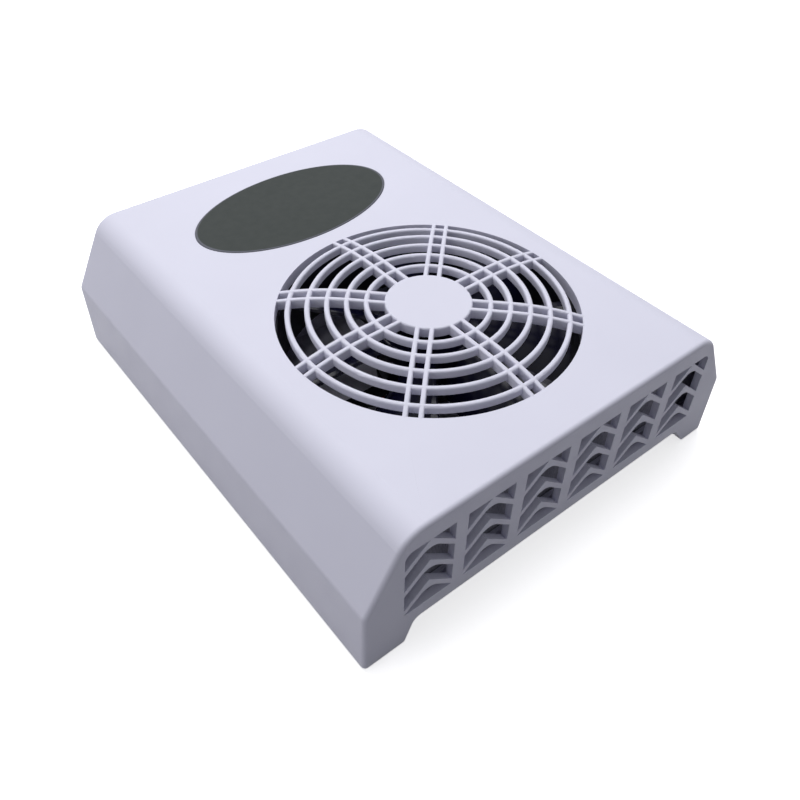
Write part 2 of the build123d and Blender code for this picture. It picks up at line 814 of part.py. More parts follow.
def switch_housing():
    """Snap-in switch body: bezel outside the rear wall, neck through it, catches behind it."""
    half_x, half_z = neck_width / 2, neck_height / 2
    bezel = box_between(switch_x - bezel_width / 2, switch_x + bezel_width / 2, rear_reach, bezel_y,
                        switch_z - bezel_height / 2, switch_z + bezel_height / 2)
    bezel = fillet(bezel.edges().filter_by(Axis.Y), bezel_rounding)
    neck = box_between(switch_x - half_x, switch_x + half_x, neck_end_y, rear_reach + bite,
                       switch_z - half_z, switch_z + half_z)
    catch_y = rear_inner_y - cutout_gap
    catches = []
    for side in (-1, 1):
        z = switch_z + side * half_z
        catches.append(box_between(
            switch_x - catch_length / 2, switch_x + catch_length / 2, catch_y - catch_length, catch_y,
            z - catch_height, z + catch_height))
    housing = bezel.fuse(neck, *catches)
    well_x = rocker_radius + rocker_gap
    well_z = rocker_half_height + rocker_gap
    well = box_between(switch_x - well_x, switch_x + well_x, neck_end_y + neck_floor, bezel_y + beyond,
                       switch_z - well_z, switch_z + well_z)
    pivot = Cylinder(trunnion_radius + trunnion_gap, neck_height + beyond)
    return housing.cut(well, Pos(switch_x, pivot_y, switch_z) * pivot, *terminal_blades())


def terminal_places():
    return [switch_x - terminal_spacing / 2, switch_x + terminal_spacing / 2]


def terminal_blades():
    return [box_between(
        x - terminal_thickness / 2, x + terminal_thickness / 2,
        terminal_end_y, neck_end_y + neck_floor + terminal_rise,
        switch_z - terminal_width / 2, switch_z + terminal_width / 2) for x in terminal_places()]


def switch_terminals():
    """Two solder blades with an eye in each."""
    blades = []
    for x, blade in zip(terminal_places(), terminal_blades()):
        eye = Pos(x, terminal_end_y + terminal_eye_offset, switch_z)
        hole = Rot(0, 90, 0) * Cylinder(terminal_hole_radius, terminal_thickness + beyond)
        blades.append(blade - eye * hole)
    return Compound(children=blades)


def switch_rocker():
    """Rocker that tips about an upright pivot, shown tipped to off."""
    rise = rocker_valley + pivot_depth
    slope = tan(radians(rocker_tilt))
    reach = rocker_radius + beyond
    crest = rise + reach * slope
    outline = make_face(Polyline(
        (-reach, -rocker_underside), (-reach, crest), (0, rise), (reach, crest),
        (reach, -rocker_underside), close=True))
    outline = outline & Circle(rocker_radius)
    body = extrude(outline, rocker_half_height, both=True)
    pins = Cylinder(trunnion_radius, 2 * (rocker_half_height + rocker_gap) + neck_wall)
    rocker = Rot(0, 0, -rocker_tilt) * (body + pins)
    return Pos(switch_x, pivot_y, switch_z) * rocker


def inlet_body():
    """Round socket for the low-voltage plug, held by its nut in the rear wall."""
    flange = rear_cylinder(inlet_x, inlet_z, rear_reach, inlet_face_y, inlet_flange_radius)
    flange = fillet(edges_at_reach(flange, inlet_face_y), inlet_rounding)
    barrel = rear_cylinder(inlet_x, inlet_z, inlet_end_y, rear_reach + bite, inlet_thread_radius)
    bore = rear_cylinder(
        inlet_x, inlet_z, inlet_face_y - inlet_bore_depth, inlet_face_y + beyond, inlet_bore_radius)
    pin_hole = rear_cylinder(inlet_x, inlet_z, inlet_end_y - beyond, inlet_face_y, inlet_pin_radius)
    return (flange + barrel).cut(bore, pin_hole)


def inlet_pin():
    tip = inlet_face_y - inlet_bore_depth + inlet_pin_length
    pin = rear_cylinder(inlet_x, inlet_z, inlet_end_y, tip, inlet_pin_radius)
    return fillet(edges_at_reach(pin, tip), inlet_pin_radius / 2)


def inlet_nut():
    hexagon = RegularPolygon(inlet_nut_flats / 2, 6, major_radius=False)
    nut = extrude(end_plane(rear_inner_y, inlet_x, inlet_z) * hexagon, inlet_nut_thickness)
    back_y = rear_inner_y - inlet_nut_thickness
    return nut - rear_cylinder(inlet_x, inlet_z, back_y - beyond, rear_inner_y + beyond, inlet_thread_radius)


def inlet_terminals():
    """Two solder lugs behind the inlet."""
    lugs = []
    for side in (-1, 1):
        z = inlet_z + side * lug_offset
        lugs.append(box_between(
            inlet_x - lug_width / 2, inlet_x + lug_width / 2, lug_end_y, inlet_end_y,
            z - lug_thickness / 2, z + lug_thickness / 2))
    return Compound(children=lugs)


def lead(points, radius=lead_bend):
    """Insulated wire along straight runs joined by tangent arcs."""
    path = FilletPolyline(*points, radius=radius)
    section = Plane(path @ 0, z_dir=path % 0) * Circle(lead_radius)
    return sweep(section, path=path)


def fan_lead(side, floor_x, corner_y, end):
    """Lead from the circuit board, through the notch in the bulkhead, to its end at the rear."""
    start_x, start_y = -lead_hole_offset, fan_y + side * lead_spacing / 2
    floor_z = base_top_z + lead_radius + base_gap
    entry_y = lead_entry_y + side * lead_spacing / 2
    end_x, end_y, end_z = end
    return lead([
        (start_x, start_y, board_z), (start_x, start_y, board_z - lead_drop),
        (floor_x, entry_y, floor_z), (floor_x, corner_y, floor_z),
        (end_x, end_y - lead_tail, end_z), (end_x, end_y, end_z)])


def fan_lead_red():
    """Lead from the circuit board to the inner switch terminal."""
    end = (max(terminal_places()), terminal_end_y, switch_z)
    return fan_lead(1, notch_x + lead_spacing / 2, bulkhead_y + lead_inner_corner, end)


def fan_lead_black():
    """Lead from the circuit board to the lower lug of the inlet."""
    end = (inlet_x, lug_end_y, inlet_z - lug_offset)
    return fan_lead(-1, notch_x - lead_spacing / 2, bulkhead_y + lead_outer_corner, end)


def inlet_lead_red():
    """Lead from the upper lug of the inlet to the outer switch terminal."""
    lug_z = inlet_z + lug_offset
    terminal_x = min(terminal_places())
    return lead([
        (inlet_x, lug_end_y, lug_z), (inlet_x, lug_end_y - lead_loop, lug_z),
        (terminal_x, terminal_end_y - lead_loop, switch_z), (terminal_x, terminal_end_y, switch_z)],
        lead_tight_bend)


pieces = [
    top_shell, oval_label, base_plate, rubber_feet, base_screws, exhaust_filter, fan_gasket,
    fan_frame, fan_screws, fan_circuit_board, stator_core, stator_coils, upper_bearing,
    lower_bearing, fan_impeller, rotor_yoke, rotor_magnet, fan_shaft, shaft_clip,
    switch_housing, switch_terminals, switch_rocker, inlet_body, inlet_pin, inlet_nut,
    inlet_terminals, fan_lead_red, fan_lead_black, inlet_lead_red]

os.makedirs("parts", exist_ok=True)
for piece in pieces:
    export_step(piece(), "parts/" + piece.__name__ + ".step")
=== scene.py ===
# %% [markdown]
# This lesson dresses a table-top nail dust collector: a pale moulded housing with a round
# suction grille, an oval badge and a louvred end. The solid model already exists, so the first
# step loads it as a fixed frame. Everything made here is set round those solids, in metres,
# and nothing in them is moved. The reason for working this way is that a finish can then be
# changed as often as you like without breaking a fit.

# %% Load the frame
from math import cos, pi, radians, sin, tau

import bmesh
import bpy
from mathutils import Matrix, Vector, noise


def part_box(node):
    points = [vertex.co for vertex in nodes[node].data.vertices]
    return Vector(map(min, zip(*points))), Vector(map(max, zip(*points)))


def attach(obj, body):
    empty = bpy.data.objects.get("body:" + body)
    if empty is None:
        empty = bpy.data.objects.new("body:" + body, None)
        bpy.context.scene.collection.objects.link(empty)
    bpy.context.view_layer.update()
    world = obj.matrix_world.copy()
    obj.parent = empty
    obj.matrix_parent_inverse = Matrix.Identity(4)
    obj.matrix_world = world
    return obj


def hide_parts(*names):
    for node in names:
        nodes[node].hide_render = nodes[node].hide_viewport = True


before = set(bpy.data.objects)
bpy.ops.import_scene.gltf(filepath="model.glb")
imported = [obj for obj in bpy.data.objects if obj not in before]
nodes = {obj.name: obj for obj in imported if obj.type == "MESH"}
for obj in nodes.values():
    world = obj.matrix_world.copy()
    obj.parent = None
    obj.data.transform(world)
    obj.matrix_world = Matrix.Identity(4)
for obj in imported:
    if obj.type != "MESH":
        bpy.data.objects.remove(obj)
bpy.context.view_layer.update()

# %% [markdown]
# Small features on a moulding are easier to think about in millimetres, while Blender works
# in metres. One named factor keeps both readable.

# %% Units
mm = 0.001
print(len(nodes), "nodes in the frame")

# %% [markdown]
# The camera stands where the photographer stood: a little above the table, off the louvred
# end's left corner. Heading, pitch and roll were found by lining up the round opening and the
# long edges, so the camera is set from those angles and needs no target to look at.

# %% Camera
camera_place = Vector((-0.15847, -0.20846, 0.24637))
camera_pitch = radians(44.61)
camera_heading = radians(39.11)
camera_roll = radians(0.85)
focal_pixels = 794.2
frame_pixels = 800
sensor_width = 36.0


def camera_axes(heading, pitch, roll):
    forward = Vector((sin(heading) * cos(pitch), cos(heading) * cos(pitch), -sin(pitch)))
    level = Vector((cos(heading), -sin(heading), 0))
    upright = level.cross(forward)
    right = cos(roll) * level + sin(roll) * upright
    up = cos(roll) * upright - sin(roll) * level
    return right, up, forward


def make_camera():
    camera_data = bpy.data.cameras.new("photo_camera")
    camera_data.sensor_width = sensor_width
    camera_data.lens = focal_pixels / frame_pixels * sensor_width
    camera_data.clip_start = 0.01
    camera = bpy.data.objects.new("photo_camera", camera_data)
    right, up, forward = camera_axes(camera_heading, camera_pitch, camera_roll)
    turn = Matrix((right, up, -forward)).transposed()
    camera.matrix_world = Matrix.Translation(camera_place) @ turn.to_4x4()
    bpy.context.scene.collection.objects.link(camera)
    bpy.context.scene.camera = camera
    return camera


camera = make_camera()
print("lens", round(camera.data.lens, 2), "mm")

# %% [markdown]
# The photograph is a product shot: a white sweep, one broad light over the back of the housing,
# a weak one off its left side and hardly any fill from the front. That is why the louvred end is
# the darkest face.
# Soft boxes are area lamps, and a large lamp gives the soft shading edge that moulded plastic
# needs to show its rounded corners.

# %% Lights
view_settings = bpy.context.scene.view_settings
view_settings.view_transform = "Standard"
light_aim = Vector((0, 0, 0.03))


def soft_box(name, place, size, power, tint):
    lamp = bpy.data.lights.new(name, "AREA")
    lamp.shape = "DISK"
    lamp.size = size
    lamp.energy = power
    lamp.color = tint
    holder = bpy.data.objects.new(name, lamp)
    holder.location = place
    holder.rotation_euler = (light_aim - Vector(place)).to_track_quat("-Z", "Y").to_euler()
    bpy.context.scene.collection.objects.link(holder)


key_place = (0.2, 0.45, 1.2)
key_size = 1.2
key_watts = 14.4
side_place = (-1.1, 0.3, 0.5)
side_size = 0.6
side_watts = 2.4
soft_box("overhead_soft_box", key_place, key_size, key_watts, (1.0, 1.0, 1.0))
soft_box("left_soft_box", side_place, side_size, side_watts, (1.0, 0.99, 1.0))
print("soft boxes of", key_watts, "and", side_watts, "watts")

# %% [markdown]
# The world is a plain grey that fills the shadows. Seen straight, in a gloss or through
# something clear, it has to be the white of the studio sweep, so the Light Path node swaps it
# for white on those rays only.

# %% World
ambient_strength = 0.27
ambient_tint = (0.93, 0.94, 1.0, 1.0)
sweep_white = (1.0, 1.0, 1.0, 1.0)


def seen_rays(tree):
    """One where a ray comes from the camera, a gloss or a clear material, else zero."""
    light_path = tree.nodes.new("ShaderNodeLightPath")
    first = tree.nodes.new("ShaderNodeMath")
    first.operation = "MAXIMUM"
    tree.links.new(light_path.outputs["Is Camera Ray"], first.inputs[0])
    tree.links.new(light_path.outputs["Is Glossy Ray"], first.inputs[1])
    second = tree.nodes.new("ShaderNodeMath")
    second.operation = "MAXIMUM"
    tree.links.new(first.outputs[0], second.inputs[0])
    tree.links.new(light_path.outputs["Is Transmission Ray"], second.inputs[1])
    return second.outputs[0]


def make_world():
    world = bpy.data.worlds.new("studio")
    bpy.context.scene.world = world
    world.use_nodes = True
    tree = world.node_tree
    tree.nodes.clear()
    ambient = tree.nodes.new("ShaderNodeBackground")
    ambient.inputs["Color"].default_value = ambient_tint
    ambient.inputs["Strength"].default_value = ambient_strength
    sweep = tree.nodes.new("ShaderNodeBackground")
    sweep.inputs["Color"].default_value = sweep_white
    sweep.inputs["Strength"].default_value = 1.0
    blend = tree.nodes.new("ShaderNodeMixShader")
    output = tree.nodes.new("ShaderNodeOutputWorld")
    tree.links.new(seen_rays(tree), blend.inputs["Fac"])
    tree.links.new(ambient.outputs[0], blend.inputs[1])
    tree.links.new(sweep.outputs[0], blend.inputs[2])
    tree.links.new(blend.outputs[0], output.inputs["Surface"])


make_world()
print("fill light", ambient_strength)

# %% [markdown]
# The floor is a wide plane under the feet. A plain white floor would throw a lot of light back
# under the louvres. This one is part white glow, for the camera, and part matt surface that
# still takes the housing's shadow. For bounced light it is a dark grey.

# %% Floor
floor_reach = 3.0
floor_glow = 0.69
floor_matt = (0.95, 0.95, 0.95, 1.0)
floor_bounce = (0.22, 0.22, 0.235, 1.0)


def floor_material():
    material = bpy.data.materials.new("studio_floor")
    material.use_nodes = True
    tree = material.node_tree
    tree.nodes.clear()
    glow = tree.nodes.new("ShaderNodeEmission")
    glow.inputs["Color"].default_value = sweep_white
    glow.inputs["Strength"].default_value = floor_glow
    matt = tree.nodes.new("ShaderNodeBsdfDiffuse")
    matt.inputs["Color"].default_value = floor_matt
    together = tree.nodes.new("ShaderNodeAddShader")
    bounce = tree.nodes.new("ShaderNodeBsdfDiffuse")
    bounce.inputs["Color"].default_value = floor_bounce
    choice = tree.nodes.new("ShaderNodeMixShader")
    output = tree.nodes.new("ShaderNodeOutputMaterial")
    tree.links.new(glow.outputs[0], together.inputs[0])
    tree.links.new(matt.outputs[0], together.inputs[1])
    tree.links.new(seen_rays(tree), choice.inputs["Fac"])
    tree.links.new(bounce.outputs[0], choice.inputs[1])
    tree.links.new(together.outputs[0], choice.inputs[2])
    tree.links.new(choice.outputs[0], output.inputs["Surface"])
    return material


def make_floor():
    mesh = bpy.data.meshes.new("studio_floor")
    corners = [(x * floor_reach, y * floor_reach, 0) for x, y in ((-1, -1), (1, -1), (1, 1), (-1, 1))]
    mesh.from_pydata(corners, [], [(0, 1, 2, 3)])
    mesh.materials.append(floor_material())
    floor = bpy.data.objects.new("studio_floor", mesh)
    bpy.context.scene.collection.objects.link(floor)


make_floor()
print("floor of", 2 * floor_reach, "metres across")

# %% [markdown]
# Almost every part here is injection moulded. Up close a moulding is never one flat colour: the
# tool's spark-eroded face leaves a fine orange-peel grain, the resin flows in faintly lighter and
# darker swirls, and its gloss drifts with them. One recipe covers the family, and each part sets
# its own colour, gloss and grain.

# %% Moulded plastic
noise_low, noise_high = 0.3, 0.7
swirl_size = 45 * mm
gloss_patch = 9 * mm
gloss_drift = 0.06
grain_strength = 0.35


def shader_base(name):
    """An empty material with a Principled shader wired to its output, and object coordinates."""
    material = bpy.data.materials.new(name)
    material.use_nodes = True
    tree = material.node_tree
    tree.nodes.clear()
    shader = tree.nodes.new("ShaderNodeBsdfPrincipled")
    output = tree.nodes.new("ShaderNodeOutputMaterial")
    tree.links.new(shader.outputs[0], output.inputs["Surface"])
    place = tree.nodes.new("ShaderNodeTexCoord").outputs["Object"]
    return material, tree, shader, place


def noise_field(tree, place, feature, detail=2.0):
    """Noise whose features are about as wide as feature, in metres."""
    field = tree.nodes.new("ShaderNodeTexNoise")
    field.inputs["Scale"].default_value = 1.0 / feature
    field.inputs["Detail"].default_value = detail
    tree.links.new(place, field.inputs["Vector"])
    return field.outputs["Fac"]


def blend_colours(tree, factor, first, second):
    """The first colour where a noise is low, the second where it is high."""
    ramp = tree.nodes.new("ShaderNodeValToRGB")
    start, end = ramp.color_ramp.elements
    start.position, end.position = noise_low, noise_high
    start.color, end.color = (*first, 1.0), (*second, 1.0)
    tree.links.new(factor, ramp.inputs["Fac"])
    return ramp.outputs["Color"]


def scaled(tree, factor, low, high):
    """A noise value stretched to run from low to high."""
    span = tree.nodes.new("ShaderNodeMapRange")
    span.inputs["From Min"].default_value = noise_low
    span.inputs["From Max"].default_value = noise_high
    span.inputs["To Min"].default_value = low
    span.inputs["To Max"].default_value = high
    tree.links.new(factor, span.inputs["Value"])
    return span.outputs["Result"]


def add_bump(tree, shader, height, depth, strength):
    bump = tree.nodes.new("ShaderNodeBump")
    bump.inputs["Distance"].default_value = depth
    bump.inputs["Strength"].default_value = strength
    tree.links.new(height, bump.inputs["Height"])
    tree.links.new(bump.outputs["Normal"], shader.inputs["Normal"])


def moulded_plastic(name, colour, tone_shift, roughness, grain, grain_depth, specular=0.5):
    material, tree, shader, place = shader_base(name)
    swirl = noise_field(tree, place, swirl_size)
    darker = [channel * (1 - tone_shift) for channel in colour]
    lighter = [min(channel * (1 + tone_shift), 1.0) for channel in colour]
    tree.links.new(blend_colours(tree, swirl, darker, lighter), shader.inputs["Base Color"])
    gloss = noise_field(tree, place, gloss_patch)
    dull, shiny = roughness * (1 + gloss_drift), roughness * (1 - gloss_drift)
    tree.links.new(scaled(tree, gloss, shiny, dull), shader.inputs["Roughness"])
    peel = noise_field(tree, place, grain, detail=3.0)
    add_bump(tree, shader, peel, grain_depth, grain_strength)
    shader.inputs["Specular IOR Level"].default_value = specular
    return material


shell_plastic = moulded_plastic(
    "shell_plastic", (0.70, 0.70, 0.815), 0.012, 0.55, 0.55 * mm, 0.02 * mm, specular=0.25)
base_plastic = moulded_plastic("base_plastic", (0.60, 0.60, 0.70), 0.02, 0.55, 0.8 * mm, 0.04 * mm)
fan_frame_plastic = moulded_plastic(
    "fan_frame_plastic", (0.007, 0.007, 0.013), 0.15, 0.42, 0.4 * mm, 0.02 * mm, specular=0.25)
fan_blade_plastic = moulded_plastic(
    "fan_blade_plastic", (0.004, 0.004, 0.016), 0.15, 0.22, 2.0 * mm, 0.01 * mm, specular=0.2)
switch_plastic = moulded_plastic("switch_plastic", (0.016, 0.016, 0.018), 0.1, 0.38, 0.35 * mm, 0.015 * mm)


def finish_node(node, material):
    """Puts one material on every face of a frame node."""
    mesh = nodes[node].data
    mesh.materials.clear()
    mesh.materials.append(material)


for node_name, plastic in (
        ("top_shell", shell_plastic), ("base_plate", base_plastic), ("fan_frame", fan_frame_plastic),
        ("fan_impeller", fan_blade_plastic), ("switch_housing", switch_plastic),
        ("switch_rocker", switch_plastic), ("inlet_body", switch_plastic)):
    finish_node(node_name, plastic)
print("moulded plastics placed")

# %% [markdown]
# The badge is a printed plate. Its field is a matt grey green, and the print stops short of the
# cut edge, which leaves a thin blue-grey line all round. The line follows the oval, so it is
# worked out from the oval's own equation: one at the edge, less inside. The plate is stuck on a
# few degrees askew, so the equation is turned with it.

# %% Badge
badge_long = 47.5 * mm
badge_short = 26.5 * mm
badge_turn = radians(2.7)
line_start, line_end = 0.972, 0.985
line_colour = (0.10, 0.105, 0.13, 1.0)
badge_low, badge_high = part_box("oval_label")
badge_middle = [(low + high) / 2 for low, high in zip(badge_low, badge_high)]
print("badge middle", [round(value / mm, 1) for value in badge_middle], "mm")


def oval_distance(tree, place):
    """How far out a point lies in the oval: zero in the middle, one at the edge."""
    shift = tree.nodes.new("ShaderNodeVectorMath")
    shift.operation = "SUBTRACT"
    shift.inputs[1].default_value = badge_middle
    tree.links.new(place, shift.inputs[0])
    straighten = tree.nodes.new("ShaderNodeVectorRotate")
    straighten.rotation_type = "Z_AXIS"
    straighten.inputs["Angle"].default_value = -badge_turn
    tree.links.new(shift.outputs[0], straighten.inputs["Vector"])
    stretch = tree.nodes.new("ShaderNodeVectorMath")
    stretch.operation = "MULTIPLY"
    stretch.inputs[1].default_value = (1 / badge_long, 1 / badge_short, 0)
    tree.links.new(straighten.outputs[0], stretch.inputs[0])
    reach = tree.nodes.new("ShaderNodeVectorMath")
    reach.operation = "LENGTH"
    tree.links.new(stretch.outputs[0], reach.inputs[0])
    return reach.outputs["Value"]


def badge_material():
    material, tree, shader, place = shader_base("badge_print")
    clouds = noise_field(tree, place, 30 * mm)
    field = blend_colours(tree, clouds, (0.015, 0.021, 0.020), (0.018, 0.024, 0.023))
    edge = tree.nodes.new("ShaderNodeMapRange")
    edge.inputs["From Min"].default_value = line_start
    edge.inputs["From Max"].default_value = line_end
    tree.links.new(oval_distance(tree, place), edge.inputs["Value"])
    print_edge = tree.nodes.new("ShaderNodeMix")
    print_edge.data_type = "RGBA"
    print_edge.inputs["B"].default_value = line_colour
    tree.links.new(edge.outputs[0], print_edge.inputs["Factor"])
    tree.links.new(field, print_edge.inputs["A"])
    tree.links.new(print_edge.outputs["Result"], shader.inputs["Base Color"])
    gloss = noise_field(tree, place, 4 * mm)
    tree.links.new(scaled(tree, gloss, 0.50, 0.56), shader.inputs["Roughness"])
    add_bump(tree, shader, noise_field(tree, place, 0.3 * mm), 0.01 * mm, 0.3)
    shader.inputs["Specular IOR Level"].default_value = 0.22
    return material


finish_node("oval_label", badge_material())
print("badge finished")

# %% [markdown]
# Metal is a different family. Its colour comes from the reflection, so the shader's Metallic
# value is one and the roughness does the talking. Turned and drawn parts carry fine marks from
# the tool, and a stretched noise, long one way and short the other, gives them.

# %% Metals
mark_dulling = 0.86
mark_depth_on_metal = 0.01 * mm


def stretched_noise(tree, place, feature, stretch):
    """Noise drawn out along the axes where stretch is small."""
    scale = tree.nodes.new("ShaderNodeVectorMath")
    scale.operation = "MULTIPLY"
    scale.inputs[1].default_value = stretch
    tree.links.new(place, scale.inputs[0])
    return noise_field(tree, scale.outputs[0], feature, detail=4.0)


def metal(name, colour, roughness, mark_stretch, mark=0.12 * mm):
    material, tree, shader, place = shader_base(name)
    marks = stretched_noise(tree, place, mark, mark_stretch)
    dulled = [channel * mark_dulling for channel in colour]
    tree.links.new(blend_colours(tree, marks, dulled, colour), shader.inputs["Base Color"])
    tree.links.new(scaled(tree, marks, roughness * 0.8, roughness * 1.25), shader.inputs["Roughness"])
    add_bump(tree, shader, marks, mark_depth_on_metal, 0.25)
    shader.inputs["Metallic"].default_value = 1.0
    return material


across_all = (1, 1, 1)
along_y = (1, 0.05, 1)
round_z = (0.2, 0.2, 1)
zinc_steel = metal("zinc_steel", (0.60, 0.61, 0.64), 0.34, across_all)
ground_steel = metal("ground_steel", (0.66, 0.66, 0.68), 0.16, round_z)
core_steel = metal("core_steel", (0.36, 0.37, 0.40), 0.42, (0.1, 0.1, 1), 0.35 * mm)
tinned_metal = metal("tinned_metal", (0.70, 0.67, 0.60), 0.24, along_y)
for node_name, finish in (
        ("base_screws", zinc_steel), ("fan_screws", zinc_steel), ("rotor_yoke", core_steel),
        ("stator_core", core_steel), ("upper_bearing", ground_steel), ("lower_bearing", ground_steel),
        ("fan_shaft", ground_steel), ("shaft_clip", ground_steel), ("switch_terminals", tinned_metal),
        ("inlet_pin", tinned_metal), ("inlet_nut", tinned_metal), ("inlet_terminals", tinned_metal)):
    finish_node(node_name, finish)
print("metals placed")

# %% [markdown]
# The motor's windings are enamelled copper wire laid side by side. Every turn goes round its
# pole, so from turn to turn only the distance from the fan's axis changes. Rings about that axis
# therefore fall exactly where the wires lie, and a ring wave drives both bump and tone. The wave
# node draws 20 / tau rings a metre at scale one, so the scale comes from the wire's width.

# %% Windings, magnet and driver board
fan_low, fan_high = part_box("fan_frame")
fan_middle = [(low + high) / 2 for low, high in zip(fan_low, fan_high)]
wire_width = 0.36 * mm
wire_relief = 0.12 * mm
track_width = 2.4 * mm
track_relief = 0.03 * mm


def from_fan_axis(tree, place):
    """A point's position measured from the fan's middle, with its height taken out."""
    shift = tree.nodes.new("ShaderNodeVectorMath")
    shift.operation = "SUBTRACT"
    shift.inputs[1].default_value = fan_middle
    tree.links.new(place, shift.inputs[0])
    flatten = tree.nodes.new("ShaderNodeVectorMath")
    flatten.operation = "MULTIPLY"
    flatten.inputs[1].default_value = (1, 1, 0)
    tree.links.new(shift.outputs[0], flatten.inputs[0])
    return flatten.outputs[0]


def ring_wave(tree, place, width):
    """Rings about the fan's axis, one crest every width."""
    wave = tree.nodes.new("ShaderNodeTexWave")
    wave.wave_type = "RINGS"
    wave.rings_direction = "SPHERICAL"
    wave.inputs["Scale"].default_value = tau / (20 * width)
    wave.inputs["Distortion"].default_value = 0.4
    tree.links.new(from_fan_axis(tree, place), wave.inputs["Vector"])
    return wave.outputs["Fac"]


def winding_material():
    material, tree, shader, place = shader_base("copper_winding")
    turns = ring_wave(tree, place, wire_width)
    copper = blend_colours(tree, turns, (0.30, 0.10, 0.03), (0.62, 0.26, 0.09))
    tree.links.new(copper, shader.inputs["Base Color"])
    tree.links.new(scaled(tree, turns, 0.34, 0.24), shader.inputs["Roughness"])
    add_bump(tree, shader, turns, wire_relief, 0.8)
    shader.inputs["Metallic"].default_value = 0.85
    shader.inputs["Coat Weight"].default_value = 0.5
    return material


def board_material():
    """Solder mask over copper tracks that run round the board."""
    material, tree, shader, place = shader_base("solder_mask")
    tracks = ring_wave(tree, place, track_width)
    mask = blend_colours(tree, tracks, (0.010, 0.085, 0.030), (0.022, 0.16, 0.062))
    tree.links.new(mask, shader.inputs["Base Color"])
    tree.links.new(scaled(tree, noise_field(tree, place, 3 * mm), 0.24, 0.32), shader.inputs["Roughness"])
    add_bump(tree, shader, tracks, track_relief, 0.4)
    return material


magnet_ferrite = moulded_plastic("magnet_ferrite", (0.050, 0.050, 0.056), 0.2, 0.62, 0.25 * mm, 0.03 * mm)
finish_node("stator_coils", winding_material())
finish_node("fan_circuit_board", board_material())
finish_node("rotor_magnet", magnet_ferrite)
print("motor finished about", [round(value / mm, 1) for value in fan_middle[:2]], "mm")

# %% [markdown]
# Rubber and wire insulation are soft plastics: no metal in them, a broad gloss, and a faint
# bloom that makes the black ones look dark grey where light grazes them.

# %% Rubber and insulation
foot_rubber = moulded_plastic(
    "foot_rubber", (0.022, 0.022, 0.023), 0.2, 0.68, 0.5 * mm, 0.05 * mm, specular=0.35)
red_insulation = moulded_plastic("red_insulation", (0.42, 0.012, 0.012), 0.08, 0.36, 1.4 * mm, 0.02 * mm)
black_insulation = moulded_plastic(
    "black_insulation", (0.014, 0.014, 0.015), 0.15, 0.38, 1.4 * mm, 0.02 * mm)
for node_name, finish in (
        ("rubber_feet", foot_rubber), ("fan_lead_red", red_insulation),
        ("inlet_lead_red", red_insulation), ("fan_lead_black", black_insulation)):
    finish_node(node_name, finish)
print("soft plastics placed")

# %% [markdown]
# New pieces need a few making tools. Each one ends the same way: the mesh becomes an object, the
# object rides on a body of the frame, and it takes its material. Putting
# that ending in one helper keeps every piece honest.

# %% Making tools
def add_piece(name, mesh, material, body, smooth=True):
    mesh.materials.clear()
    mesh.materials.append(material)
    if smooth:
        mesh.polygons.foreach_set("use_smooth", [True] * len(mesh.polygons))
    piece = bpy.data.objects.new(name, mesh)
    bpy.context.scene.collection.objects.link(piece)
    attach(piece, body)
    return piece


def mesh_from(name, points, faces):
    mesh = bpy.data.meshes.new(name)
    mesh.from_pydata(points, [], faces)
    mesh.update()
    return mesh


def turned_ring(name, section, centre, steps=96):
    """A closed section of (radius, height) points turned about an upright axis."""
    points = []
    for step in range(steps):
        angle = tau * step / steps
        for radius, height in section:
            x, y = radius * cos(angle), radius * sin(angle)
            points.append((centre[0] + x, centre[1] + y, centre[2] + height))
    count = len(section)
    faces = []
    for step in range(steps):
        here, ahead = step * count, (step + 1) % steps * count
        for corner in range(count):
            after = (corner + 1) % count
            faces.append((here + corner, ahead + corner, ahead + after, here + after))
    return mesh_from(name, points, faces)


def rounded_block(name, centre, size, rounding, turn=0.0, segments=3):
    """A block with bevelled edges, turned about an upright axis through its centre."""
    shape = bmesh.new()
    bmesh.ops.create_cube(shape, size=1.0)
    bmesh.ops.scale(shape, vec=size, verts=shape.verts)
    bmesh.ops.bevel(
        shape, geom=shape.edges[:], offset=rounding, segments=segments, affect="EDGES", profile=0.5)
    bmesh.ops.rotate(shape, cent=(0, 0, 0), matrix=Matrix.Rotation(turn, 3, "Z"), verts=shape.verts)
    bmesh.ops.translate(shape, vec=centre, verts=shape.verts)
    mesh = bpy.data.meshes.new(name)
    shape.to_mesh(mesh)
    shape.free()
    return mesh


print("ring and block tools ready")

# %% [markdown]
# The exhaust filter is a mat of loose fibres. The solid that holds its place is a flat slab, and
# a slab would look like card. The slab's mesh is rebuilt from small even squares, so that its
# faces can be pushed in and out. Broad, shallow waves show where the mat has relaxed between its
# guides, and short ones give the felted surface. It may only shrink, so it stays in its guides.

# %% Exhaust filter
filter_cell = 1.1 * mm
filter_wave = 16 * mm
filter_tuft = 2.2 * mm
filter_relax = 0.45 * mm
filter_rough = 0.16 * mm
fibre_width = 0.5 * mm
fibre_relief = 0.2 * mm


def filter_mesh():
    source = bpy.data.objects.new("filter_source", nodes["exhaust_filter"].data.copy())
    bpy.context.scene.collection.objects.link(source)
    remesh = source.modifiers.new("even squares", "REMESH")
    remesh.mode = "VOXEL"
    remesh.voxel_size = filter_cell
    settled = source.evaluated_get(bpy.context.evaluated_depsgraph_get())
    mesh = bpy.data.meshes.new_from_object(settled)
    bpy.data.objects.remove(source)
    inward = [-vertex.normal.copy() for vertex in mesh.vertices]
    for vertex, push in zip(mesh.vertices, inward):
        wave = noise.noise(vertex.co / filter_wave) + 1
        tuft = noise.noise(vertex.co / filter_tuft) + 1
        vertex.co += push * (wave * filter_relax + tuft * filter_rough) / 2
    return mesh


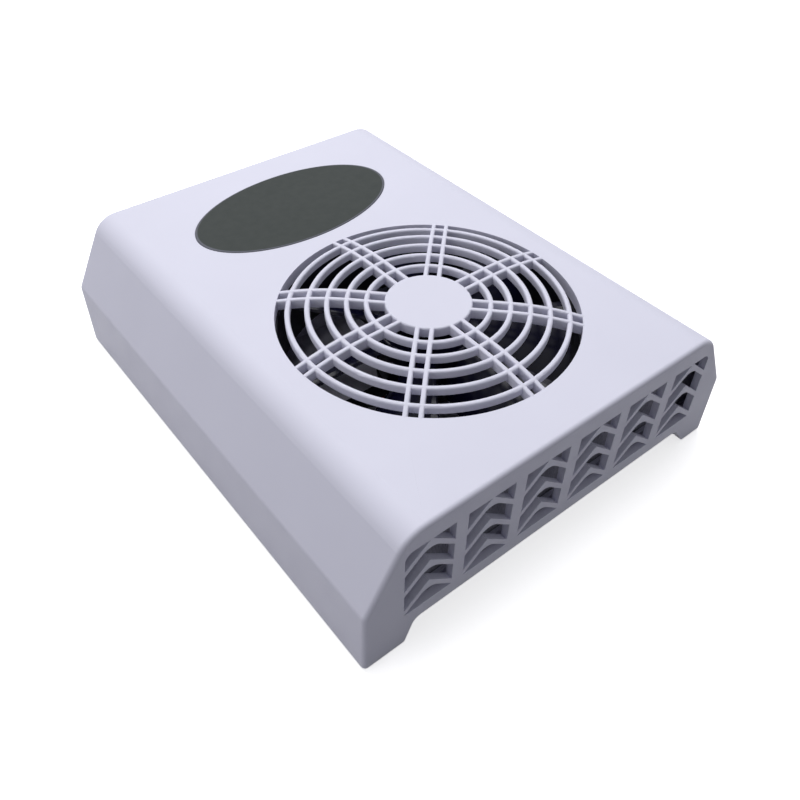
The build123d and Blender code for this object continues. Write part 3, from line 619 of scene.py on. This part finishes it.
def fibre_material():
    """Felted fibres: a grey ground with paler crossing threads, and a soft sheen."""
    material, tree, shader, place = shader_base("filter_fibre")
    threads = stretched_noise(tree, place, fibre_width, (1, 1, 0.25))
    greys = blend_colours(tree, threads, (0.28, 0.28, 0.33), (0.46, 0.46, 0.53))
    tree.links.new(greys, shader.inputs["Base Color"])
    tree.links.new(scaled(tree, threads, 0.98, 0.85), shader.inputs["Roughness"])
    add_bump(tree, shader, threads, fibre_relief, 0.8)
    shader.inputs["Specular IOR Level"].default_value = 0.15
    shader.inputs["Sheen Weight"].default_value = 0.1
    return material


filter_pad = add_piece("filter_pad", filter_mesh(), fibre_material(), "root")
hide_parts("exhaust_filter")
print("filter pad:", len(filter_pad.data.vertices), "points")

# %% [markdown]
# The gasket under the grille's collar is a foam ring that the fan squeezes. Squeezed foam bulges
# at its free sides, so its section is a flat top and bottom with half-round sides instead of a
# square, worked out from the ring's own box.

# %% Gasket
gasket_low, gasket_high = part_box("fan_gasket")
gasket_wall = 2.0 * mm
gasket_bulge_steps = 6


def gasket_mesh():
    outer = (gasket_high[0] - gasket_low[0]) / 2
    inner = outer - gasket_wall
    half = (gasket_high[2] - gasket_low[2]) / 2
    section = []
    for middle, start in ((outer - half, -pi / 2), (inner + half, pi / 2)):
        for step in range(gasket_bulge_steps + 1):
            angle = start + pi * step / gasket_bulge_steps
            section.append((middle + half * cos(angle), half * sin(angle)))
    centre = (fan_middle[0], fan_middle[1], (gasket_low[2] + gasket_high[2]) / 2)
    return turned_ring("fan_gasket_ring", section, centre, steps=160)


gasket_foam = moulded_plastic(
    "gasket_foam", (0.018, 0.018, 0.020), 0.35, 0.86, 0.35 * mm, 0.12 * mm, specular=0.2)
gasket_ring = add_piece("fan_gasket_ring", gasket_mesh(), gasket_foam, "root")
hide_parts("fan_gasket")
print("gasket ring:", len(gasket_ring.data.vertices), "points")

# %% [markdown]
# A rocker switch says which way is on with two printed marks: a bar for on and a ring for off.
# They lie on the rocker's two slopes. The rocker is drawn tipped to off, so each mark is built
# flat, then leaned with the rocker's own slope about its pivot line, and it rides on the rocker.

# %% Switch marks
bezel_low, bezel_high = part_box("switch_housing")
rocker_x = (bezel_low[0] + bezel_high[0]) / 2
rocker_z = (bezel_low[2] + bezel_high[2]) / 2
pivot_depth = 3.0 * mm
pivot_y = bezel_high[1] - pivot_depth
rocker_tilt = radians(12)
slope_rise = 3.6 * mm
mark_offset = 4.6 * mm
mark_proud = 0.06 * mm
mark_depth = 0.10 * mm
mark_height = 3.2 * mm
mark_line = 0.5 * mm
mark_rounding = 0.02 * mm
mark_white = moulded_plastic("mark_white", (0.78, 0.78, 0.78), 0.02, 0.5, 0.4 * mm, 0.01 * mm)


def lay_on_rocker(mesh, side):
    """Moves a mark from the XZ plane onto the rocker's slope on one side, at the tilt it rests in."""
    slope = Matrix.Rotation(side * rocker_tilt, 4, "Z")
    rise = Matrix.Translation((0, slope_rise, 0))
    rest = Matrix.Rotation(-rocker_tilt, 4, "Z")
    seat = Matrix.Translation((rocker_x, pivot_y, rocker_z))
    mesh.transform(seat @ rest @ rise @ slope @ Matrix.Translation((side * mark_offset, 0, 0)))
    return mesh


def ring_mark():
    outer = mark_height / 2
    inner = outer - mark_line
    section = [(inner, -mark_depth), (outer, -mark_depth), (outer, mark_proud), (inner, mark_proud)]
    mesh = turned_ring("mark_off", section, (0, 0, 0), steps=48)
    mesh.transform(Matrix.Rotation(-pi / 2, 4, "X"))
    return mesh


def bar_mark():
    centre = (0, (mark_proud - mark_depth) / 2, 0)
    size = (mark_line, mark_proud + mark_depth, mark_height)
    return rounded_block("mark_on", centre, size, mark_rounding)


for side, mesh in ((1, bar_mark()), (-1, ring_mark())):
    add_piece(mesh.name, lay_on_rocker(mesh, side), mark_white, "rocker", smooth=False)
print("switch marks at", round(rocker_x / mm, 1), round(rocker_z / mm, 1), "mm")

# %% [markdown]
# The driver board holds a driver chip, a magnetic sensor between two poles and two small
# capacitors. They stand on the board's rim, outside the windings and under the magnet, which is
# the only room there. Each is a bevelled block, and the chip's legs are a loop of tiny blocks.

# %% Driver board parts
board_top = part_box("fan_circuit_board")[1][2]
part_radius = 13.4 * mm
chip_size = (2.6 * mm, 1.8 * mm, 0.9 * mm)
sensor_size = (1.6 * mm, 0.9 * mm, 1.0 * mm)
capacitor_size = (1.3 * mm, 0.8 * mm, 0.7 * mm)
leg_size = (0.25 * mm, 0.5 * mm, 0.3 * mm)
part_rounding = 0.08 * mm
leg_rounding = 0.03 * mm
chip_black = moulded_plastic("chip_black", (0.012, 0.012, 0.013), 0.1, 0.5, 0.2 * mm, 0.01 * mm)
capacitor_tan = moulded_plastic("capacitor_tan", (0.36, 0.24, 0.12), 0.05, 0.4, 0.3 * mm, 0.01 * mm)


def on_board(angle, radius, height):
    x, y = fan_middle[0] + radius * cos(angle), fan_middle[1] + radius * sin(angle)
    return (x, y, board_top + height / 2)


def place_board_part(name, angle, size, material):
    mesh = rounded_block(name, on_board(angle, part_radius, size[2]), size, part_rounding, angle + pi / 2)
    return add_piece(name, mesh, material, "root", smooth=False)


chip_angle = radians(45)
quarter = pi / 2
place_board_part("driver_chip", chip_angle, chip_size, chip_black)
place_board_part("hall_sensor", chip_angle + quarter, sensor_size, chip_black)
place_board_part("input_capacitor", chip_angle + 2 * quarter, capacitor_size, capacitor_tan)
place_board_part("timing_capacitor", chip_angle + 3 * quarter, capacitor_size, capacitor_tan)
legs_per_side = 4
leg_spacing = 0.6 * mm
for row, side in enumerate((-1, 1)):
    for index in range(legs_per_side):
        along = (index - (legs_per_side - 1) / 2) * leg_spacing
        radius = part_radius + side * (chip_size[1] + leg_size[1]) / 2
        centre = on_board(chip_angle + along / radius, radius, leg_size[2])
        name = f"chip_leg_{row * legs_per_side + index + 1}"
        leg = rounded_block(name, centre, leg_size, leg_rounding, chip_angle + pi / 2, segments=1)
        add_piece(name, leg, tinned_metal, "root", smooth=False)
print("board parts placed on", round(board_top / mm, 2), "mm")
